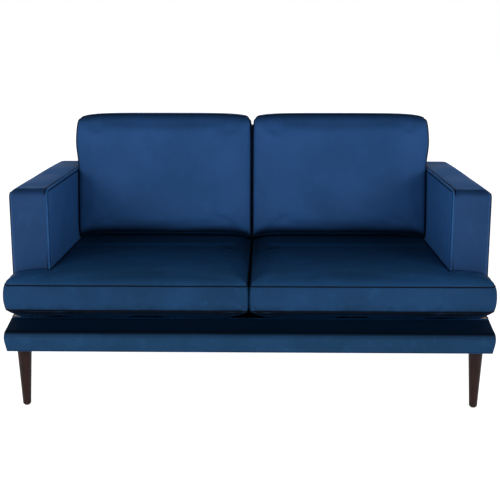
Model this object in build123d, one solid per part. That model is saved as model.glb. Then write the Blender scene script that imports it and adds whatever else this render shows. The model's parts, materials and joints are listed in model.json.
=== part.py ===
from build123d import *
import math
import os

# Two-seater sofa with loose cushions on a timber frame. All sizes are in millimetres.
# The origin is on the floor under the middle of the sofa. +X is the right-hand side seen from the
# front, +Y the back and +Z up. "Left" is the -X side.

# Overall sizes
width = 1500.0  # across the ears of the seat cushions
depth = 860.0  # front of the base to the outside back
leg_height = 198.0  # floor to the underside of the base
base_height = 83.0  # underside of the base to the seat deck
arm_height = 404.0  # seat deck to the top of an arm
back_height = 540.0  # seat deck to the top of the back

# Base
base_inset = 2.0  # seat cushions stand this far outside the base
front_slope_rise = 28.0  # from the front band's straight part up to the deck
base_cover_wall = 3.0  # velvet and its lining on the base
dust_cover_wall = 1.5
front_pad = 30.0  # foam in front of the front rail
front_lip_round = 12.0
rail_thickness = 25.0
centre_rail_width = 30.0
centre_rail_drop = 10.0  # centre rail below the top of the spring rails
corner_block_width = 50.0
corner_block_length = 60.0
corner_block_drop = 5.5  # blocks below the top of the spring rails
corner_block_gap = 2.0  # to the front post of an arm

# Legs
leg_top_radius = 23.0
leg_foot_radius = 12.5
leg_foot_round = 3.0
leg_inset_x = 41.0  # leg axis in from the side of the base
leg_behind_rail = 13.0  # leg axis behind the front rail
glide_height = 3.0
glide_radius = 9.0
glide_round = 0.8
dust_hole_clearance = 1.0

# Bolts and tee nuts
bolt_radius = 4.0
bolt_clearance = 1.0
bolt_head_radius = 8.5
bolt_head_height = 5.0
nut_barrel_radius = 5.0
nut_barrel_length = 12.0
nut_flange_radius = 8.5
nut_flange_thickness = 2.0
bolt_end_gap = 3.0  # bolt end below the outer face of the rail
hanger_bolt_in_leg = 40.0
hanger_bolt_end_gap = 1.0
bolt_spacing = 19.0  # low bolt to high bolt

# Seat suspension and deck
springs_per_seat = 4
spring_pitch = 135.0  # from one spring to the next
spring_width = 50.0
spring_wire_radius = 1.9
spring_loop_radius = 15.0
clip_length = 22.0
clip_width = 14.0
clip_height = 8.0
clip_hole_clearance = 0.1
insulator_thickness = 3.0
deck_cover_wall = 2.0
deck_pad_thickness = 18.0
deck_tuck = 15.0  # deck layers run this far under the arms and the back

# Arms
arm_width = 121.0
arm_setback = 103.0  # front of the base to the front of an arm
arm_inset = 4.0  # arm in from the side of the base
arm_top_round = 26.0  # front and rear edges of the top
arm_outer_round = 24.0  # round the outer side
arm_inner_round = 6.0  # round the inner side
cover_wall = 2.0
arm_foam = 15.0  # front, top and inner side
arm_foam_thin = 8.0  # outer side and rear
arm_panel = 12.0
arm_top_rail = 18.0
arm_post_depth = 45.0

# Back
back_rake = 8.5  # degrees from upright
back_thickness = 145.0  # inside face to outside back, at the deck
outside_back_wall = 2.0
back_foam = 23.0
back_top_foam = 10.0
back_top_round = 14.0  # front edge of the top
webbing_thickness = 2.0
webbing_width = 50.0
webbing_straps = 4
back_post_width = 30.0
back_rail_thickness = 25.0
back_rail_height = 60.0
back_rail_lift = 19.0  # lower rail above the deck
back_stile_width = 40.0

# Cushions
cushion_split = 3.0  # between the left and the right cushions
cushion_lift = 0.3  # between a cushion and what it rests on
seat_thickness = 150.7
seat_side_gap = 3.0  # to the arms, and from the ear to the front of the arm
seat_back_gap = 4.0  # to the inside back
seat_front_lift = 29.0  # underside at the front edge above the underside on the deck
seat_corner_round = 26.0
seat_inner_round = 5.0
seat_top_round = 22.0
back_cushion_thickness = 178.0
back_cushion_height = 445.0
back_cushion_gap = 5.0  # to the inside back
back_cushion_side_gap = 4.0  # to the arms
back_cushion_round = 28.0

# Zips
zip_length = 500.0
zip_tape_width = 10.0
zip_coil_width = 3.0
zip_coil_height = 1.2
zip_slider_length = 10.0
zip_slider_width = 8.0
zip_slider_height = 3.5
zip_gap = 0.3
zip_end_margin = 3.0
seat_zip_height = 72.0  # above the underside of the seat cushion
back_zip_height = 45.0  # above the underside of the back cushion

# Places worked out from the sizes above
front = -depth / 2
back = depth / 2
base_bottom = leg_height
deck = base_bottom + base_height
rail_bottom = base_bottom + dust_cover_wall
deck_pad_top = deck - deck_cover_wall
insulator_top = deck_pad_top - deck_pad_thickness
clip_top = insulator_top - insulator_thickness
spring_rail_top = clip_top - clip_height
spring_height = spring_rail_top + clip_height / 2
front_lip_height = base_height - front_slope_rise
corner_block_top = spring_rail_top - corner_block_drop
low_bolt = (rail_bottom + spring_rail_top - bolt_spacing) / 2
bolt_heights = (low_bolt, low_bolt + bolt_spacing)
arm_top = deck + arm_height
back_top = deck + back_height
base_side = width / 2 - base_inset
rail_side = base_side - base_cover_wall
front_rail_front = front + front_pad + base_cover_wall
front_rail_back = front_rail_front + rail_thickness
back_rail_back = back - base_cover_wall
back_rail_front = back_rail_back - rail_thickness
arm_front = front + arm_setback
arm_outside = base_side - arm_inset
arm_inside = arm_outside - arm_width
arm_frame_inside = arm_inside + cover_wall + arm_foam
arm_frame_outside = arm_outside - cover_wall - arm_foam_thin
arm_frame_front = arm_front + cover_wall + arm_foam
arm_frame_back = back - cover_wall - arm_foam_thin
arm_frame_top = arm_top - cover_wall - arm_foam
post_inside = arm_frame_inside + arm_panel
post_outside = arm_frame_outside - arm_panel
rear_post_back = back_rail_front - corner_block_length
bolt_stack = rail_side - post_inside  # post and side rail, bolted together
back_foot_front = back_rail_back - bolt_stack
back_tan = math.tan(math.radians(back_rake))
back_cos = math.cos(math.radians(back_rake))
inside_back = back - back_thickness
back_frame_side = arm_inside - cover_wall
seat_bottom = deck + cushion_lift
seat_top = seat_bottom + seat_thickness
seat_rear = inside_back - seat_back_gap
back_cushion_bottom = seat_top + cushion_lift
back_cushion_top = back_cushion_bottom + back_cushion_height
leg_x = base_side - leg_inset_x
leg_y = -front_rail_back - leg_behind_rail
overcut = 1.0  # how far a cutting solid stands past the face that it opens


def block(x0, x1, y0, y1, z0, z1):
    """A box from its lowest to its highest corner."""
    return Pos((x0 + x1) / 2, (y0 + y1) / 2, (z0 + z1) / 2) * Box(x1 - x0, y1 - y0, z1 - z0)


def prism(outline, x0, x1):
    """A Y-Z outline drawn out from x0 to x1."""
    face = Plane.YZ.offset(x0) * Polygon(*outline, align=None)
    return extrude(face, amount=x1 - x0, dir=(1, 0, 0))


def rod(radius, start, end):
    """A round bar between two points."""
    path = Line(start, end)
    return extrude(Plane(origin=start, z_dir=path % 0) * Circle(radius), amount=path.length)


def mirrored(shape):
    """The same piece on the other side of the sofa."""
    return mirror(shape, about=Plane.YZ)


def group(solids):
    """Separate solids that share one node."""
    return Compound(children=[solid for shape in solids for solid in shape.solids()])


# Base frame


def base_front_rail():
    return block(-rail_side, rail_side, front_rail_front, front_rail_back, rail_bottom, spring_rail_top)


def base_back_rail():
    rail = block(-rail_side, rail_side, back_rail_front, back_rail_back, rail_bottom, spring_rail_top)
    for hole in back_bolt_places():
        rail -= bolt_hole(hole)
    return rail


def base_side_rail():
    """Right side rail, stepped down in front of the arm."""
    outline = [
        (front_rail_back, rail_bottom),
        (back_rail_front, rail_bottom),
        (back_rail_front, deck),
        (arm_front, deck),
        (arm_front, spring_rail_top),
        (front_rail_back, spring_rail_top),
    ]
    rail = prism(outline, post_outside, rail_side)
    for hole in arm_bolt_places():
        rail -= bolt_hole(hole)
    return rail


def base_centre_rail():
    half = centre_rail_width / 2
    top = spring_rail_top - centre_rail_drop
    return block(-half, half, front_rail_back, back_rail_front, rail_bottom, top)


def corner_blocks():
    """Four blocks in the corners of the frame, each bored for a leg's bolt."""
    top = corner_block_top
    inner = post_outside - corner_block_width
    near_end = arm_frame_front - corner_block_gap
    near = block(inner, post_outside, front_rail_back, near_end, rail_bottom, top)
    far = block(inner, post_outside, rear_post_back, back_rail_front, rail_bottom, top)
    near -= rod(nut_barrel_radius, (leg_x, -leg_y, rail_bottom - overcut), (leg_x, -leg_y, top + overcut))
    far -= rod(nut_barrel_radius, (leg_x, leg_y, rail_bottom - overcut), (leg_x, leg_y, top + overcut))
    return group([near, far, mirrored(near), mirrored(far)])


# Bolts: each is drawn along its own +X and then placed, and it ends in a tee nut


def arm_bolt_places():
    """Two bolts through each post of the right arm and the side rail."""
    posts = (arm_frame_front + arm_post_depth / 2, rear_post_back - arm_post_depth / 2)
    return [Location((post_inside, y, z)) for y in posts for z in bolt_heights]


def back_bolt_places():
    """Two bolts through the foot of each back post and the back rail."""
    x = back_frame_side - back_post_width / 2
    return [Location((side * x, back_foot_front, z), (0, 0, 90)) for side in (-1, 1) for z in bolt_heights]


def bolt_hole(place):
    """Room for a bolt, its tee nut's barrel and the sunk flange."""
    hole = rod(nut_barrel_radius, (-overcut, 0, 0), (bolt_stack + overcut, 0, 0))
    sink = rod(nut_flange_radius, (bolt_stack - nut_flange_thickness, 0, 0), (bolt_stack + overcut, 0, 0))
    return place * (hole + sink)


def frame_bolt():
    head = rod(bolt_head_radius, (-bolt_head_height, 0, 0), (0, 0, 0))
    return head + rod(bolt_radius, (0, 0, 0), (bolt_stack - bolt_end_gap, 0, 0))


def tee_nut():
    """A flanged nut with its flange at the origin and its barrel along -X."""
    flange = rod(nut_flange_radius, (-nut_flange_thickness, 0, 0), (0, 0, 0))
    barrel = rod(nut_barrel_radius, (-nut_barrel_length, 0, 0), (0, 0, 0))
    bore = rod(bolt_radius, (-nut_barrel_length - overcut, 0, 0), (overcut, 0, 0))
    return flange + barrel - bore


def frame_bolts():
    arm = [place * frame_bolt() for place in arm_bolt_places()]
    backs = [place * frame_bolt() for place in back_bolt_places()]
    return group(arm + [mirrored(bolt) for bolt in arm] + backs)


def tee_nuts():
    """The nuts of all the frame bolts, and those of the legs, flange up on the corner blocks."""
    seat = Pos(bolt_stack, 0, 0)
    arm = [place * seat * tee_nut() for place in arm_bolt_places()]
    backs = [place * seat * tee_nut() for place in back_bolt_places()]
    top = corner_block_top + nut_flange_thickness
    upright = Rot(0, -90, 0) * tee_nut()
    legs = [Pos(x, y, top) * upright for x, y in leg_places()]
    return group(arm + [mirrored(nut) for nut in arm] + backs + legs)


# Legs


def leg(x, y):
    """A round tapered leg with a bored top."""
    height = rail_bottom - glide_height
    taper = Cone(leg_foot_radius, leg_top_radius, height, align=(Align.CENTER, Align.CENTER, Align.MIN))
    taper = fillet(taper.edges().group_by(Axis.Z)[0], leg_foot_round)
    bore = rod(bolt_radius, (0, 0, height - hanger_bolt_in_leg), (0, 0, height + overcut))
    return Pos(x, y, glide_height) * (taper - bore)


def leg_places():
    return [(x, y) for x in (-leg_x, leg_x) for y in (-leg_y, leg_y)]


def leg_hanger_bolts():
    top = corner_block_top - hanger_bolt_end_gap
    return group([rod(bolt_radius, (x, y, rail_bottom - hanger_bolt_in_leg), (x, y, top)) for x, y in leg_places()])


def foot_glides():
    disc = Cylinder(glide_radius, glide_height, align=(Align.CENTER, Align.CENTER, Align.MIN))
    disc = fillet(disc.edges().group_by(Axis.Z)[0], glide_round)
    return group([Pos(x, y, 0) * disc for x, y in leg_places()])


# Seat suspension and deck


def spring_places():
    centre = (arm_inside + cushion_split) / 2
    steps = [spring_pitch * (i - (springs_per_seat - 1) / 2) for i in range(springs_per_seat)]
    return [side * centre + step for side in (-1, 1) for step in steps]


def spring_ends():
    return (front_rail_front + front_rail_back) / 2, (back_rail_front + back_rail_back) / 2


def spring():
    """A sinuous spring: straight bars across, joined by half-round loops, in one plane."""
    start, end = spring_ends()
    loops = int((end - start) / (2 * spring_loop_radius))
    radius = (end - start) / loops / 2
    reach = spring_width / 2 - radius
    edges = []
    for i in range(loops + 1):
        side = 1 if i % 2 == 0 else -1
        y = start + 2 * radius * i
        edges.append(Line((-side * reach, y, spring_height), (side * reach, y, spring_height)))
        if i < loops:
            bend = (side * (reach + radius), y + radius, spring_height)
            edges.append(ThreePointArc((side * reach, y, spring_height), bend, (side * reach, y + 2 * radius, spring_height)))
    path = Wire(edges)
    section = Plane(origin=path @ 0, z_dir=path % 0) * Circle(spring_wire_radius)
    return sweep(section, path=path)


def seat_springs():
    one = spring()
    return group([Pos(x, 0, 0) * one for x in spring_places()])


def spring_clips():
    hole = spring_wire_radius + clip_hole_clearance
    clips = []
    for x in spring_places():
        for y in spring_ends():
            body = Pos(x, y, spring_height) * Box(clip_length, clip_width, clip_height)
            body -= rod(hole, (x - clip_length, y, spring_height), (x + clip_length, y, spring_height))
            clips.append(body)
    return group(clips)


def deck_layer(bottom, top, start):
    side = arm_inside + deck_tuck
    return block(-side, side, start, inside_back + deck_tuck, bottom, top)


def spring_insulator():
    return deck_layer(clip_top, insulator_top, front_rail_back)


def deck_pad():
    return deck_layer(insulator_top, deck_pad_top, arm_front)


def deck_cover():
    return deck_layer(deck_pad_top, deck, arm_front)


# Base upholstery


def front_outline(wall, bottom):
    """Side outline of the front band inside a wall: upright face, then a slope up to the deck."""
    lip = base_bottom + front_lip_height
    return [(front + wall, bottom), (front + wall, lip - wall), (arm_front, deck - wall), (arm_front, bottom)]


def round_front_lip(band, wall):
    """Rounds the long edge at the top of the front band."""
    lip = base_bottom + front_lip_height - wall
    edge = band.edges().filter_by(Axis.X).sort_by_distance((0, front + wall, lip))[0]
    return fillet(edge, front_lip_round - wall)


def base_cover_front():
    outer = round_front_lip(prism(front_outline(0, base_bottom), -base_side, base_side), 0)
    inner = prism(front_outline(base_cover_wall, base_bottom - overcut), -rail_side, rail_side)
    inner = round_front_lip(inner, base_cover_wall)
    return outer - inner


def base_front_pad():
    band = prism(front_outline(base_cover_wall, rail_bottom), -rail_side, rail_side)
    band = round_front_lip(band, base_cover_wall)
    behind = block(-width, width, front_rail_back, arm_front + overcut, 0, insulator_top)
    over_rail = block(-width, width, front_rail_front, arm_front + overcut, 0, clip_top)
    return band - behind - over_rail


def base_cover_side():
    return block(rail_side, base_side, arm_front, back_rail_back, base_bottom, deck)


def base_cover_back():
    return block(-base_side, base_side, back_rail_back, back, base_bottom, deck)


def dust_cover():
    """Cloth under the frame, cut round each leg."""
    sheet = block(-rail_side, rail_side, front + base_cover_wall, back_rail_back, base_bottom, rail_bottom)
    radius = leg_top_radius + dust_hole_clearance
    for x, y in leg_places():
        sheet -= rod(radius, (x, y, base_bottom - overcut), (x, y, rail_bottom + overcut))
    return sheet


# Arms, drawn on the right


def arm_body(wall, bottom):
    """The arm's outside shape, a wall further in: soft over the top and outside, tight along the inside."""
    body = block(
        arm_inside + wall, arm_outside - wall, arm_front + wall, back - wall, bottom, arm_top - wall
    )
    body = fillet(body.edges().filter_by(Axis.X).group_by(Axis.Z)[-1], arm_top_round - wall)
    for index, radius in ((-1, arm_outer_round), (0, arm_inner_round)):
        rim = body.faces().sort_by(Axis.X)[index].edges()
        body = fillet([edge for edge in rim if edge.center().Z > bottom + overcut], radius - wall)
    return body


def arm_cover():
    return arm_body(0, deck) - arm_body(cover_wall, deck - overcut)


def arm_frame_space():
    return block(
        arm_frame_inside, arm_frame_outside, arm_frame_front, arm_frame_back, deck - overcut, arm_frame_top
    )


def arm_foam_pad():
    return arm_body(cover_wall, deck) - arm_frame_space()


def arm_panels():
    top = arm_frame_top - arm_top_rail
    inner = block(arm_frame_inside, post_inside, arm_frame_front, arm_frame_back, deck, top)
    outer = block(post_outside, arm_frame_outside, arm_frame_front, arm_frame_back, deck, top)
    return group([inner, outer])


def arm_top_board():
    low = arm_frame_top - arm_top_rail
    return block(arm_frame_inside, arm_frame_outside, arm_frame_front, arm_frame_back, low, arm_frame_top)


def arm_posts():
    """Front and rear post, which run down inside the base and are bolted to its side rail."""
    top = arm_frame_top - arm_top_rail
    posts = []
    for start in (arm_frame_front, rear_post_back - arm_post_depth):
        post = block(post_inside, post_outside, start, start + arm_post_depth, rail_bottom, top)
        for place in arm_bolt_places():
            if start < place.position.Y < start + arm_post_depth:
                ends = (place * Pos(-overcut, 0, 0), place * Pos(bolt_stack, 0, 0))
                post -= rod(bolt_radius + bolt_clearance, ends[0].position, ends[1].position)
        posts.append(post)
    return group(posts)


# Back, raked between the arms


def back_line(z, offset):
    """Y of the inside back at a height, moved back by an offset square to its face."""
    return inside_back + (z - deck) * back_tan + offset / back_cos


def back_slab(near, far, low, high, x0, x1):
    """A slab parallel to the inside back, between two offsets and two heights."""
    outline = [
        (back_line(low, near), low),
        (back_line(high, near), high),
        (back_line(high, far), high),
        (back_line(low, far), low),
    ]
    return prism(outline, x0, x1)


def back_wedge(offset, top, rear, bottom, side):
    """The back's tapering body: raked in front, upright behind."""
    outline = [(back_line(bottom, offset), bottom), (back_line(top, offset), top), (rear, top), (rear, bottom)]
    return prism(outline, -side, side)


def padded_back(wall, rear, bottom, side):
    """The back's body a wall inside its cover, with its top rolled over at the front."""
    body = back_wedge(wall, back_top - wall, rear, bottom, side)
    front_top = body.edges().filter_by(Axis.X).group_by(Axis.Z)[-1].sort_by(Axis.Y)[0]
    return fillet(front_top, back_top_round - wall)


def back_cover():
    rear = back - outside_back_wall
    inner = padded_back(cover_wall, rear + overcut, deck - overcut, back_frame_side)
    return padded_back(0, rear, deck, arm_inside) - inner


def back_foam_pad():
    """Foam over the webbing and over the top rail."""
    rear = back - outside_back_wall
    top = back_top - cover_wall - back_top_foam
    space = back_wedge(cover_wall + back_foam, top, rear + overcut, deck - overcut, width)
    return padded_back(cover_wall, rear, deck, back_frame_side) - space


frame_offset = cover_wall + back_foam + webbing_thickness
back_frame_top = back_top - cover_wall - back_top_foam
lower_rail_bottom = deck + back_rail_lift
lower_rail_top = lower_rail_bottom + back_rail_height
top_rail_bottom = back_frame_top - back_rail_height
post_inner_side = back_frame_side - back_post_width


def back_post():
    """Right post: a shaped upright with a foot bolted to the back rail."""
    rear = back - outside_back_wall
    outline = [
        (back_foot_front, rail_bottom),
        (back_rail_front, rail_bottom),
        (back_rail_front, deck),
        (rear, deck),
        (rear, back_frame_top),
        (back_line(back_frame_top, frame_offset), back_frame_top),
        (back_line(deck, frame_offset), deck),
        (back_foot_front, deck),
    ]
    post = prism(outline, post_inner_side, back_frame_side)
    for place in back_bolt_places():
        if place.position.X > 0:
            ends = (place * Pos(-overcut, 0, 0), place * Pos(bolt_stack - rail_thickness + overcut, 0, 0))
            post -= rod(bolt_radius + bolt_clearance, ends[0].position, ends[1].position)
    return post


def back_cross_rail(low, high, half):
    return back_slab(frame_offset, frame_offset + back_rail_thickness, low, high, -half, half)


def back_webbing():
    """Elastic straps stapled across the front of the posts."""
    near = cover_wall + back_foam
    space = (top_rail_bottom - lower_rail_top - webbing_straps * webbing_width) / (webbing_straps + 1)
    straps = []
    for i in range(webbing_straps):
        low = lower_rail_top + space + i * (webbing_width + space)
        straps.append(
            back_slab(near, frame_offset, low, low + webbing_width, -back_frame_side, back_frame_side)
        )
    return group(straps)


def outside_back_cover():
    return block(-arm_inside, arm_inside, back - outside_back_wall, back, deck, back_top)


# Cushions, drawn on the right


def seat_cushion_body(wall):
    """L-shaped cushion a wall inside its cover, with a rising front underside."""
    near = cushion_split / 2 + wall
    main_side = arm_inside - seat_side_gap - wall
    ear_side = width / 2 - wall
    ear_back = arm_front - seat_side_gap - wall
    corners = [
        (near, front + wall),
        (ear_side, front + wall),
        (ear_side, ear_back),
        (main_side, ear_back),
        (main_side, seat_rear - wall),
        (near, seat_rear - wall),
    ]
    outline = Polygon(*corners, align=None)
    inner = outline.vertices().sort_by_distance((main_side, ear_back))[0]
    outer = [corner for corner in outline.vertices() if corner != inner]
    outline = fillet(outer, seat_corner_round - wall)
    inner = outline.vertices().sort_by_distance((main_side, ear_back))[0]
    outline = fillet(inner, seat_inner_round + wall)
    low = seat_bottom + wall
    body = extrude(Pos(0, 0, low) * outline, amount=seat_thickness - 2 * wall)
    wedge = [(front - overcut, low - overcut), (front - overcut, low + seat_front_lift), (arm_front, low - overcut)]
    body -= prism(wedge, 0, width)
    return fillet(body.edges().group_by(Axis.Z)[-1], seat_top_round - wall)


def back_cushion_body(wall):
    """Raked cushion a wall inside its cover, rounded all over."""
    low = back_cushion_bottom + wall
    high = back_cushion_top - wall
    far = -back_cushion_gap * back_cos - wall
    near = far - back_cushion_thickness * back_cos + 2 * wall
    side = arm_inside - back_cushion_side_gap - wall
    body = back_slab(near, far, low, high, cushion_split / 2 + wall, side)
    return fillet(body.edges(), back_cushion_round - wall)


def zip_tape():
    """Zip tape and coil along X, its outer face at Y 0."""
    half = zip_tape_width / 2
    tape = block(-zip_length / 2, zip_length / 2, -cover_wall, 0, -half, half)
    coil = block(-zip_length / 2, zip_length / 2, 0, zip_coil_height, -zip_coil_width / 2, zip_coil_width / 2)
    return tape + coil


def zip_slot():
    half = zip_tape_width / 2
    return block(-zip_length / 2, zip_length / 2, -cover_wall - overcut, overcut, -half, half)


def zip_slider():
    """Slider over the coil, at the outer end of the zip."""
    end = zip_length / 2 - zip_end_margin
    half = zip_slider_width / 2
    channel = zip_coil_width / 2 + zip_gap
    body = block(end - zip_slider_length, end, zip_gap, zip_slider_height, -half, half)
    room = block(end - zip_length, end + zip_length, 0, zip_coil_height + zip_gap, -channel, channel)
    return body - room


def seat_zip_place():
    middle = (cushion_split / 2 + arm_inside - seat_side_gap) / 2
    return Pos(middle, seat_rear, seat_bottom + seat_zip_height)


def back_zip_place():
    middle = (cushion_split / 2 + arm_inside - back_cushion_side_gap) / 2
    z = back_cushion_bottom + back_zip_height
    return Pos(middle, back_line(z, -back_cushion_gap * back_cos), z) * Rot(-back_rake, 0, 0)


def cushion_pieces(name, body, place):
    """Cover, filling, zip and slider of one right-hand cushion."""
    filling = body(cover_wall)
    return {
        name + "_cover": body(0) - filling - place * zip_slot(),
        name + ("_foam" if name == "seat_cushion" else "_fill"): filling,
        name + "_zip": place * zip_tape(),
        name + "_zip_slider": place * zip_slider(),
    }


def build():
    """Every node of the sofa by name."""
    nodes = {
        "base_front_rail": base_front_rail(),
        "base_back_rail": base_back_rail(),
        "base_centre_rail": base_centre_rail(),
        "corner_blocks": corner_blocks(),
        "frame_bolts": frame_bolts(),
        "tee_nuts": tee_nuts(),
        "leg_hanger_bolts": leg_hanger_bolts(),
        "foot_glides": foot_glides(),
        "seat_springs": seat_springs(),
        "spring_clips": spring_clips(),
        "spring_insulator": spring_insulator(),
        "deck_pad": deck_pad(),
        "deck_cover": deck_cover(),
        "base_front_pad": base_front_pad(),
        "base_cover_front": base_cover_front(),
        "base_cover_back": base_cover_back(),
        "dust_cover": dust_cover(),
        "back_top_rail": back_cross_rail(top_rail_bottom, back_frame_top, post_inner_side),
        "back_lower_rail": back_cross_rail(lower_rail_bottom, lower_rail_top, post_inner_side),
        "back_centre_stile": back_cross_rail(lower_rail_top, top_rail_bottom, back_stile_width / 2),
        "back_webbing": back_webbing(),
        "back_foam": back_foam_pad(),
        "back_cover": back_cover(),
        "outside_back_cover": outside_back_cover(),
    }
    for side, x in (("left", -leg_x), ("right", leg_x)):
        nodes["leg_front_" + side] = leg(x, -leg_y)
        nodes["leg_back_" + side] = leg(x, leg_y)
    paired = {
        "base_side_rail": base_side_rail(),
        "base_cover": base_cover_side(),
        "arm_posts": arm_posts(),
        "arm_panels": arm_panels(),
        "arm_top_rail": arm_top_board(),
        "arm_foam": arm_foam_pad(),
        "arm_cover": arm_cover(),
        "back_post": back_post(),
        **cushion_pieces("seat_cushion", seat_cushion_body, seat_zip_place()),
        **cushion_pieces("back_cushion", back_cushion_body, back_zip_place()),
    }
    for name, shape in paired.items():
        nodes[name + "_right"] = shape
        nodes[name + "_left"] = mirrored(shape)
    return nodes


os.makedirs("parts", exist_ok=True)
for node, shape in build().items():
    shape.label = node
    export_step(shape, os.path.join("parts", node + ".step"))
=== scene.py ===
import json
import math

import bmesh
import bpy
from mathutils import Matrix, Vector, noise
from mathutils.kdtree import KDTree


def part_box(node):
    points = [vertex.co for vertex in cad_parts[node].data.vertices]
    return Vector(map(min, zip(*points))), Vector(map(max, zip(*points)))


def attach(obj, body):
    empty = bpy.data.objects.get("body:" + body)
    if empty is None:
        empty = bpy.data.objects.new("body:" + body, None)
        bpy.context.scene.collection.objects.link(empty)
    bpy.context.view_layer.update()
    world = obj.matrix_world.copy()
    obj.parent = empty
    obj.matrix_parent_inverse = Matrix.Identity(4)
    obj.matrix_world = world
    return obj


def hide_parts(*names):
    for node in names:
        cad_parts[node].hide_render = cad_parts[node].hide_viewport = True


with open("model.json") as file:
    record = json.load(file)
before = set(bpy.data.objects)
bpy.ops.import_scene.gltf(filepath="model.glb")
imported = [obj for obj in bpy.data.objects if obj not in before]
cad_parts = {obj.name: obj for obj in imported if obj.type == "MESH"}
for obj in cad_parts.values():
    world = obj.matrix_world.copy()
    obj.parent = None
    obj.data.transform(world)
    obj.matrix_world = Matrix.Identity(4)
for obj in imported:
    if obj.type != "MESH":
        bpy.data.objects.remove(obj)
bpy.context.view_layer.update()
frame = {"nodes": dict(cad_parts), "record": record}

# A two-seater sofa in navy velvet on four tapered legs. Lengths are in metres.
MM = 0.001
SIDES = (("left", -1), ("right", 1))

# Places that the frame gives
seat_low, seat_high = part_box("seat_cushion_cover_right")
rest_low, rest_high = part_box("back_cushion_cover_right")
arm_low, arm_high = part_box("arm_cover_right")
back_low, back_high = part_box("back_cover")
panel_low, panel_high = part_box("outside_back_cover")
band_low, band_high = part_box("base_cover_front")
_, rail_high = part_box("base_cover_back")
lower_low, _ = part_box("back_lower_rail")
top_low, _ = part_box("back_top_rail")
deck = arm_low.z
front = band_low.y
rear = rail_high.y
arm_front = arm_low.y
arm_inside = arm_low.x
base_side = band_high.x
base_bottom = band_low.z
split = seat_low.x
# The back leans by this much along Y for each metre of height
lean = (top_low.y - lower_low.y) / (top_low.z - lower_low.z)


# ---- materials


def linear(hex_colour):
    """An sRGB hex colour as linear red, green, blue and alpha."""
    parts = [int(hex_colour[i : i + 2], 16) / 255 for i in (1, 3, 5)]
    return [c / 12.92 if c <= 0.04045 else ((c + 0.055) / 1.055) ** 2.4 for c in parts] + [1.0]


def add(tree, kind, values=None, links=None, **settings):
    """Adds a node with its settings, the values of its inputs and the links into them."""
    made = tree.nodes.new(kind)
    for name, value in settings.items():
        setattr(made, name, value)
    for name, value in (values or {}).items():
        made.inputs[name].default_value = value
    for name, source in (links or {}).items():
        tree.links.new(source, made.inputs[name])
    return made


def start(name, **values):
    """A material with one shader, and the node that gives its Object coordinates."""
    made = bpy.data.materials.new(name)
    made.use_nodes = True
    tree = made.node_tree
    shader = tree.nodes["Principled BSDF"]
    for socket, value in values.items():
        shader.inputs[socket.replace("_", " ")].default_value = value
    place = add(tree, "ShaderNodeTexCoord")
    return made, tree, shader, place.outputs["Object"]


def per_size(size_mm):
    """The scale of a noise whose features are about this many millimetres across."""
    return 1 / (size_mm * MM)


def cloud(tree, place, size_mm, detail=2.0, distortion=0.0):
    """Noise with features of a size, read at a place."""
    values = {"Scale": per_size(size_mm), "Detail": detail, "Distortion": distortion}
    return add(tree, "ShaderNodeTexNoise", values, {"Vector": place}).outputs["Fac"]


def blend_colours(tree, factor, low, high):
    """Two colours mixed by a factor. Each is a hex colour or a node's output."""
    mix = add(tree, "ShaderNodeMix", data_type="RGBA", links={0: factor})
    for index, colour in ((6, low), (7, high)):
        if isinstance(colour, str):
            mix.inputs[index].default_value = linear(colour)
        else:
            tree.links.new(colour, mix.inputs[index])
    return mix.outputs[2]


def times(tree, first, second):
    """Two values multiplied."""
    return add(tree, "ShaderNodeMath", links={0: first, 1: second}, operation="MULTIPLY").outputs[0]


def shaded(tree, colour, tone):
    """A colour made darker or lighter by a value."""
    made = add(tree, "ShaderNodeVectorMath", links={0: colour, "Scale": tone}, operation="SCALE")
    return made.outputs["Vector"]


def spread(tree, source, low, high, out_low=0.0, out_high=1.0):
    """A value stretched from one range to another, with soft ends."""
    values = {"From Min": low, "From Max": high, "To Min": out_low, "To Max": out_high}
    made = add(tree, "ShaderNodeMapRange", values, {"Value": source}, interpolation_type="SMOOTHSTEP")
    return made.outputs["Result"]


def bump(tree, shader, height, strength, depth_mm, under=None):
    """Relief of a real depth on a shader, over another bump if one is given."""
    values = {"Strength": strength, "Distance": depth_mm * MM}
    links = {"Height": height}
    if under is not None:
        links["Normal"] = under
    made = add(tree, "ShaderNodeBump", values, links)
    tree.links.new(made.outputs["Normal"], shader.inputs["Normal"])
    return made.outputs["Normal"]


# How far a face must turn up, down or sideways before its painted light or shade changes: parts of its
# normal
FACING_UP = (0.2, 0.92)
FACING_DOWN = (-0.7, -0.05)
FACING_SIDEWAYS = (0.6, 0.95)
# The painted gradient of light and shade on level faces ends at this Y
TOP_REAR = 0.06  # the Y behind which level faces have their rear tone


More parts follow.
